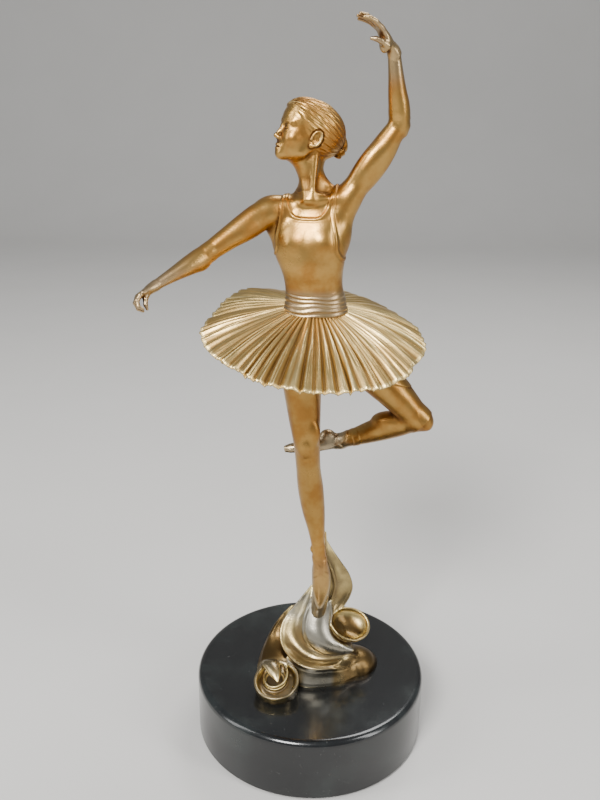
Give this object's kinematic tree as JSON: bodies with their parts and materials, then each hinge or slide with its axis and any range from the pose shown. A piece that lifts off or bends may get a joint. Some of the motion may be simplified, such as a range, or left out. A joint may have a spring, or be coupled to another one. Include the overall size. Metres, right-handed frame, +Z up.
{
  "type": "bronze statuette",
  "caption": "Bronze ballerina statuette: tutu, one arm raised, one leg bent, balanced on a toe on a breaking wave, on a round black marble plinth.",
  "frame": {"origin": "centre of the felt underside that the statuette stands on", "axes": "+Z up, -Y the side that the dancer's chest faces, +X towards the raised arm and bent leg"},
  "size_m": [0.1731, 0.15, 0.4411],
  "materials": {
    "black_marble": "polished black marble",
    "felt": "dark green felt",
    "zinc_steel": "zinc plated",
    "skin_bronze": "golden brown patina, waxed",
    "tutu_bronze": "lighter straw brown patina, rubbed on the folds",
    "wave_bronze": "silvery olive patina, edges rubbed bright",
    "pin_bronze": "plain drawn bronze rod"
  },
  "bodies": {
    "root": {"marble_plinth": "black_marble", "felt_pad": "felt", "fixing_washer": "zinc_steel", "spring_washer": "zinc_steel", "fixing_nut": "zinc_steel", "fixing_stud": "zinc_steel", "steady_peg": "zinc_steel", "wave_mound": "wave_bronze", "wave_crest": "wave_bronze", "wave_tongue": "wave_bronze", "wave_cup": "wave_bronze", "wave_scroll": "wave_bronze", "toe_pin": "pin_bronze", "standing_leg": "skin_bronze", "raised_leg": "skin_bronze", "pelvis": "skin_bronze", "tutu": "tutu_bronze", "torso": "skin_bronze", "head_and_neck": "skin_bronze", "raised_arm": "skin_bronze", "lowered_arm": "skin_bronze", "waist_stud": "pin_bronze", "neck_dowel": "pin_bronze", "raised_arm_dowel": "pin_bronze", "lowered_arm_dowel": "pin_bronze", "standing_leg_dowel": "pin_bronze", "raised_leg_dowel": "pin_bronze"}
  },
  "joints": []
}
